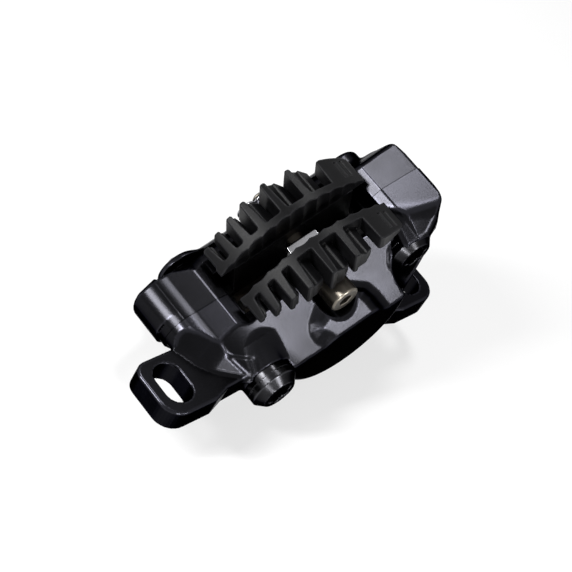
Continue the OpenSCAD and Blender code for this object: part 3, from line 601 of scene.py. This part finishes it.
def turned(u, y, w, cu, cw, profile, r):
    """A bar turned about an axis along y: the distance to its profile, mirrored
    on the axis, in y and in the distance from the axis."""
    whole = [*profile, *[(a, -b) for a, b in profile[::-1]]]
    return outline(y, np.hypot(u - cu, w - cw), whole, r)


def bolt(cu, seat, end):
    """Chamfered head over the seat, shank to the end, and the recess: a round
    hole joined with six small ones on its rim."""
    foot = seat - WASHER

    def field(u, y, w):
        head = [(foot, HEAD_R), (foot - 1.62, HEAD_R), (foot - 3.6, 4.1)]
        shank = [(foot - 0.5, SHANK_R), (end, SHANK_R)]
        d = np.minimum(turned(u, y, w, cu, BOLT_W, head, 0.12),
                       turned(u, y, w, cu, BOLT_W, shank, 0.12))
        recess = disc(u, w, cu, BOLT_W, RECESS_R)
        for turn in range(6):
            a = math.radians(60 * turn + 12)
            recess = fillet(recess, disc(u, w, cu + RECESS_R * math.cos(a),
                                         BOLT_W + RECESS_R * math.sin(a), LOBE_R), 0.2)
        return cut(d, np.maximum(recess, y - foot + 1.2), 0.15)
    return field


# Steel, turned and blackened: darker than the body, with sharper lights. The
# tool's marks are about 0.1 mm apart, drawn as a grain 0.2 mm wide.
TURNED_STEEL = finish("black_turned_bolt_steel", "161617", "4c4c50", 1.0, 0.24,
                      tint="707074", grain=0.2, grain_height=0.002)
# Steel, stamped and coated: a smooth glossy black, bright on its rim.
BLACK_STEEL = finish("gloss_black_coated_steel", "161617", "5c5c60", 1.0, 0.17,
                     tint="707074", grain=0.2, grain_height=0.001, bevel=0.2)
dress(BLACK_STEEL, "body_bolt_washers", "body_bolt_left", "body_bolt_right")
for name, cu, seat, end in (("left", -BOLT_U, LEFT_SEAT, LEFT_END),
                            ("right", BOLT_U, RIGHT_SEAT, RIGHT_END)):
    field = bolt(cu, seat, end)
    piece = add_mesh(name + "_bolt", *surface(field, (cu - 6.4, seat - 5.6, BOLT_W - 6.4),
                                              (cu + 6.4, end + 0.6, BOLT_W + 6.4),
                                              STEP * 0.75), field, TURNED_STEEL)
    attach(piece, "housing")
    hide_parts("body_bolt_" + name)

# ------------------------------------------------------ bleed nipple and cap
# A stainless steel screw with a bore, turned, and screwed into the inboard
# half behind its right end. A moulded rubber cap is pushed over it.

dress(STAINLESS, "bleed_nipple")
dress(RUBBER, "bleed_cap")

# ------------------------------------------------------------- friction pads
# A steel plate, stamped, with a sintered lining pressed and fired onto it.
# Steel rivets hold the radiator on the plate's outer edge.

# Stamped steel with a thin black coat: dark grey and half matt.
PAD_STEEL = finish("stamped_grey_steel", "151516", "3a3a3e", 0.9, 0.45, grain=0.4,
                   grain_height=0.01, bevel=0.2)
# Sintered lining: matt and gritty, brown specks in black, grains of 0.7 mm.
LINING = finish("sintered_brake_lining", "15120f", "3a3028", 0.3, 0.85, 0.2, grain=0.7,
                grain_height=0.06, mottle=1.5, spread=0.5, bevel=0.2)
dress(PAD_STEEL, "outboard_backing_plate", "inboard_backing_plate")
dress(LINING, "outboard_lining", "inboard_lining")
dress(STAINLESS, "outboard_rivets", "inboard_rivets")

# ---------------------------------------------------------------- radiators
# One finned plate stands out of the window on each pad: cast aluminium with a
# thin matt black coat, arched on top, with six blunt blades and a wide grooved
# tab. It is riveted to the pad's steel plate and moves with it.

REACH_U, RISE = 19.9, 7.7                        # half the length, height of the arch
PLATE_IN, PLATE_OUT, ROOT = 3.3, 5.3, 4.3        # the plate in y, the fins' root in it
FLUTE = 3.7                                      # width of a hollow in the inner face
# Left edge of each blade, then how far its ridge and its foot lie to the right
FINS = [(-19.6, 1.9, 2.8), (-16.2, 1.9, 2.8), (-12.5, 2.2, 3.3), (-8.5, 2.8, 5.4),
        (-2.6, 3.8, 6.0), (3.9, 3.7, 6.1)]
TAB_U = 11.6


def arch(u):
    """Height of the arch: a parabola, highest in the middle."""
    return 0.6 + RISE * (1 - (u / REACH_U) ** 2)


def fin_tip(u):
    """Reach of the fins: longest in the middle, less by the distance from it
    raised to 1.6."""
    return 13.2 - 3.1 * (np.abs(u) / REACH_U) ** 1.6


def radiator(u, y, w):
    """A plate under the arch, with shallow hollows inside: a row of half sine
    waves. Each fin is a thin blade, joined to a flank on its right that falls
    in two slopes past a ridge. y counts outward, so one form serves both pads."""
    y = np.abs(y)
    steep = 1 / np.sqrt(1 + (2 * RISE * u / REACH_U ** 2) ** 2)
    under = np.maximum((w - arch(u)) * steep, np.abs(u) - REACH_U)
    raised = np.maximum(under, -w)
    flutes = (PLATE_IN + 0.38 * np.abs(np.sin(np.pi * (u + REACH_U) / FLUTE))
              * np.clip(w / 2, 0, 1))
    d = common(common(under, -w, 0.1), np.maximum(flutes - y, y - PLATE_OUT), 0.2)
    for left, ridge, foot in FINS:
        tip = fin_tip(left + 1.05)
        blade = outline(u, y, [(left, ROOT), (left + 2.1, ROOT), (left + 1.4, tip - 0.3),
                               (left + 1.1, tip), (left + 0.3, tip), (left, tip - 0.3)], 0.12)
        blade = common(blade, raised, 0.22)
        high, low = 0.72 * arch(left + ridge), 0.42 * arch(left + foot)
        flank = outline(u, w, [(left, 0), (left, high), (left + 1.3, max(high, arch(left) - 1)),
                               (left + ridge - 0.5, high - 0.25), (left + ridge, high),
                               (left + foot, low), (left + foot, 0)], 0.12)
        plan = outline(u, y, [(left, ROOT), (left + foot, ROOT), (left + foot - 0.3, tip - 1.4),
                              (left + ridge, tip - 0.4), (left, tip - 0.4)], 0.2)
        flank = common(np.maximum(flank, under + 0.25), plan, 0.25)
        d = fillet(d, fillet(blade, flank, 0.2), 0.55)
    tab = outline(u, y, [(TAB_U, ROOT), (REACH_U, ROOT), (REACH_U, 10.1), (18.3, 11),
                         (15.2, 11.6), (TAB_U + 1.4, fin_tip(TAB_U)),
                         (TAB_U + 0.3, fin_tip(TAB_U) - 0.3)], 0.5)
    tab = common(tab, raised, 0.3)
    for at in (16.2, 17.9):
        groove = np.hypot(u - at, w - arch(at) - 0.12) - 0.5
        tab = cut(tab, np.maximum(groove, between(y, 5.6, 10)), 0.12)
    return np.maximum(fillet(d, tab, 0.25), under)


# Cast aluminium under a thin black coat: the darkest and dullest of the metal
# pieces, its edges a little grey. Its skin is as rough as fine sand, 0.3 mm.
CAST_ALLOY = finish("matt_dark_cast_aluminium", "0a0a0b", "202022", 0.0, 0.38, 0.07,
                    grain=0.3, grain_height=0.008, mottle=5)
dress(CAST_ALLOY, "inboard_radiator", "outboard_radiator")
verts, faces = surface(radiator, (-20.5, 2.8, -0.6), (20.5, 14, 9), STEP * 0.55)
for side, out, order in (("inboard", 1, 1), ("outboard", -1, -1)):
    piece = add_mesh(side + "_fins", verts * (1, out, 1), faces[:, ::order], radiator,
                     CAST_ALLOY)
    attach(piece, side + "_pad")
    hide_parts(side + "_radiator")

# --------------------------------------------------------------- pad spring
# One strip of stainless spring steel, cut and bent. It lies across between the
# pads, and its leaves push them apart. The axle goes through it.

STRIP, LEAF_U = 0.3, 2.9                         # thickness, half the leaves' width


def spring(u, y, w):
    """A flat top and a leaf down to the foot of each pad: bent outlines in y
    and w over a stretch of u, with a round hole for the axle."""
    top = outline(y, w, [(-1.35, 0.45), (0.3, 0.45), (0.3, 0.45 + STRIP), (-1.35, 0.45 + STRIP)])
    top = np.maximum(between(u, -4.4, 3.4), top)
    down = [(2.05, -8.9), (1.45, -11.9), (1.45 - STRIP, -11.9), (2.05 - STRIP, -8.9)]
    near = outline(-y, w, [(1.05, 0.75), (1.35, 0.75), *down, (1.05, 0.45)])
    far = outline(y, w, [(0, 0.75), (0.3, 0.75), (1.35, -1.2), *down, (1.05, -1.2), (0, 0.45)])
    leaves = np.maximum(np.minimum(near, far), between(u, -LEAF_U, LEAF_U))
    return cut(np.minimum(top, leaves), disc(u, w, 0, AXLE_W, 2.15), 0.05)


dress(STAINLESS, "pad_spring")
piece = add_mesh("spring_leaf", *surface(spring, (-4.8, -2.5, -12.4), (3.8, 2.5, 1.1), 0.13),
                 spring, STAINLESS)
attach(piece, "housing")
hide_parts("pad_spring")

# -------------------------------------------------------- pad axle and clip
# A titanium pin, turned, with a socket head. It goes through both halves, the
# spring and the pads, and a wire clip snaps into the groove at its tip.


def axle(u, y, w):
    """Head, shank, groove and tapered tip as two turned profiles; the socket is
    what three layers, turned by 60 degrees, share."""
    head = [(-9.63, 3.6), (-15.15, 3.6), (-15.5, 3.25)]
    shank = [(-10, 2), (14.7, 2), (14.7, 1.4), (15.7, 1.4), (15.7, 2), (16, 2), (16.6, 1.2)]
    d = np.minimum(turned(u, y, w, 0, AXLE_W, head, 0.1), turned(u, y, w, 0, AXLE_W, shank, 0.1))
    socket = np.maximum.reduce([np.abs(u * math.cos(a) + (w - AXLE_W) * math.sin(a)) - 1.5
                                for a in (0.3, 0.3 + math.pi / 3, 0.3 + 2 * math.pi / 3)])
    return cut(d, np.maximum(socket, y + 13), 0.15)


# Titanium, turned: a warm grey with a broad light. The tool's marks are about
# 0.1 mm apart, drawn as a grain 0.25 mm wide.
TITANIUM = finish("warm_grey_turned_titanium", "5a554e", "7a756c", 1.0, 0.36, grain=0.25,
                  grain_height=0.003)
dress(TITANIUM, "pad_axle")
dress(STAINLESS, "axle_clip")
piece = add_mesh("pad_axle_pin",
                 *surface(axle, (-4.2, -16.2, -8.8), (4.2, 17.2, -0.4), STEP * 0.65),
                 axle, TITANIUM)
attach(piece, "housing")
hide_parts("pad_axle")

# ------------------------------------------------------------------- studio
# A white room: its walls show as plain white, and light the part far less than
# they show. The part stands on a sheet of matt white card.


def seen(t):
    """1 for the rays that show the background: camera, glossy, transmission."""
    path = add(t, "ShaderNodeLightPath").outputs
    most = add(t, "ShaderNodeMath", ("MAXIMUM", path["Is Camera Ray"], path["Is Glossy Ray"]))
    return add(t, "ShaderNodeMath", ("MAXIMUM", most.outputs["Value"],
                                     path["Is Transmission Ray"])).outputs["Value"]


def mixed(t, share, first, second):
    """Two shaders mixed by the second one's share."""
    mix = add(t, "ShaderNodeMixShader", Fac=share)
    t.links.new(first, mix.inputs[1])
    t.links.new(second, mix.inputs[2])
    return mix.outputs["Shader"]


world = bpy.data.worlds.new("studio")
bpy.context.scene.world = world
world.use_nodes = True
t = world.node_tree
t.nodes.clear()
out = add(t, "ShaderNodeOutputWorld")
white = add(t, "ShaderNodeBackground", Strength=1.0)
soft = add(t, "ShaderNodeBackground", Strength=0.2)
t.links.new(mixed(t, seen(t), soft.outputs["Background"], white.outputs["Background"]),
            out.inputs["Surface"])

# Matt white card: six tenths of what it shows is its own white, so that the
# shadow under the part stays soft and light.
m = bpy.data.materials.new("matt_white_card")
m.use_nodes = True
t = m.node_tree
bsdf = t.nodes["Principled BSDF"]
bsdf.inputs["Base Color"].default_value = linear("f2f2f2")
bsdf.inputs["Roughness"].default_value = 0.9
bsdf.inputs["Specular IOR Level"].default_value = 0.2
glow = add(t, "ShaderNodeEmission", Strength=1.0)
share = add(t, "ShaderNodeMath", ("MULTIPLY", seen(t), 0.6)).outputs["Value"]
t.links.new(mixed(t, share, bsdf.outputs["BSDF"], glow.outputs["Emission"]),
            t.nodes["Material Output"].inputs["Surface"])
FLOOR_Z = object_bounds()[0][2] - 0.0005
WIDE = 3
mesh = bpy.data.meshes.new("floor")
mesh.from_pydata([(-WIDE, -WIDE, FLOOR_Z), (WIDE, -WIDE, FLOOR_Z), (WIDE, WIDE, FLOOR_Z),
                  (-WIDE, WIDE, FLOOR_Z)], [], [(0, 1, 2, 3)])
mesh.materials.append(m)
ground = bpy.data.objects.new("floor", mesh)
bpy.context.collection.objects.link(ground)

# Five small softboxes near the part, so that satin metal shows soft fades. Each
# has its place, width and height in metres, and the brightness of its face:
# its power is brightness times pi times width times height.
AIM = Vector((0.004, 0, 0.02))
for name, place, wide, tall, bright in [
        ("left_box", (-0.432, 0.190, 0.335), 0.09, 0.28, 52.0),
        ("front_box", (0.055, -0.385, 0.205), 0.10, 0.08, 34.0),
        ("corner_box", (-0.120, -0.355, 0.205), 0.05, 0.05, 36.0),
        ("low_box", (-0.150, -0.410, 0.040), 0.09, 0.05, 44.0),
        ("top_box", (0.090, 0.155, 0.42), 0.10, 0.12, 24.0)]:
    lamp = bpy.data.lights.new(name, "AREA")
    lamp.shape = "ELLIPSE"
    lamp.size, lamp.size_y = wide, tall
    lamp.energy = bright * math.pi * wide * tall
    box = bpy.data.objects.new(name, lamp)
    box.location = place
    box.rotation_euler = (Vector(place) - AIM).to_track_quat("Z", "Y").to_euler()
    box.visible_camera = False
    bpy.context.collection.objects.link(box)

# ------------------------------------------------------------------- camera
# A pinhole camera, fitted to the outlines of the two ear slots and to edges of
# the body whose directions are known.
camera = bpy.data.objects.new("camera", bpy.data.cameras.new("camera"))
bpy.context.collection.objects.link(camera)
bpy.context.scene.camera = camera
camera.data.sensor_width = 36
camera.data.lens = 97.68
camera.data.clip_start, camera.data.clip_end = 0.01, 20
right = Vector((0.6956, -0.6071, 0.3843))
down = Vector((-0.3015, -0.7321, -0.6108))
ahead = Vector((0.6521, 0.3090, -0.6923))
pose = Matrix([[right[k], -down[k], -ahead[k]] for k in range(3)]).to_4x4()
pose.translation = Vector((-0.22667, -0.11017, 0.25257))
camera.matrix_world = pose
bpy.context.scene.view_settings.view_transform = "Standard"
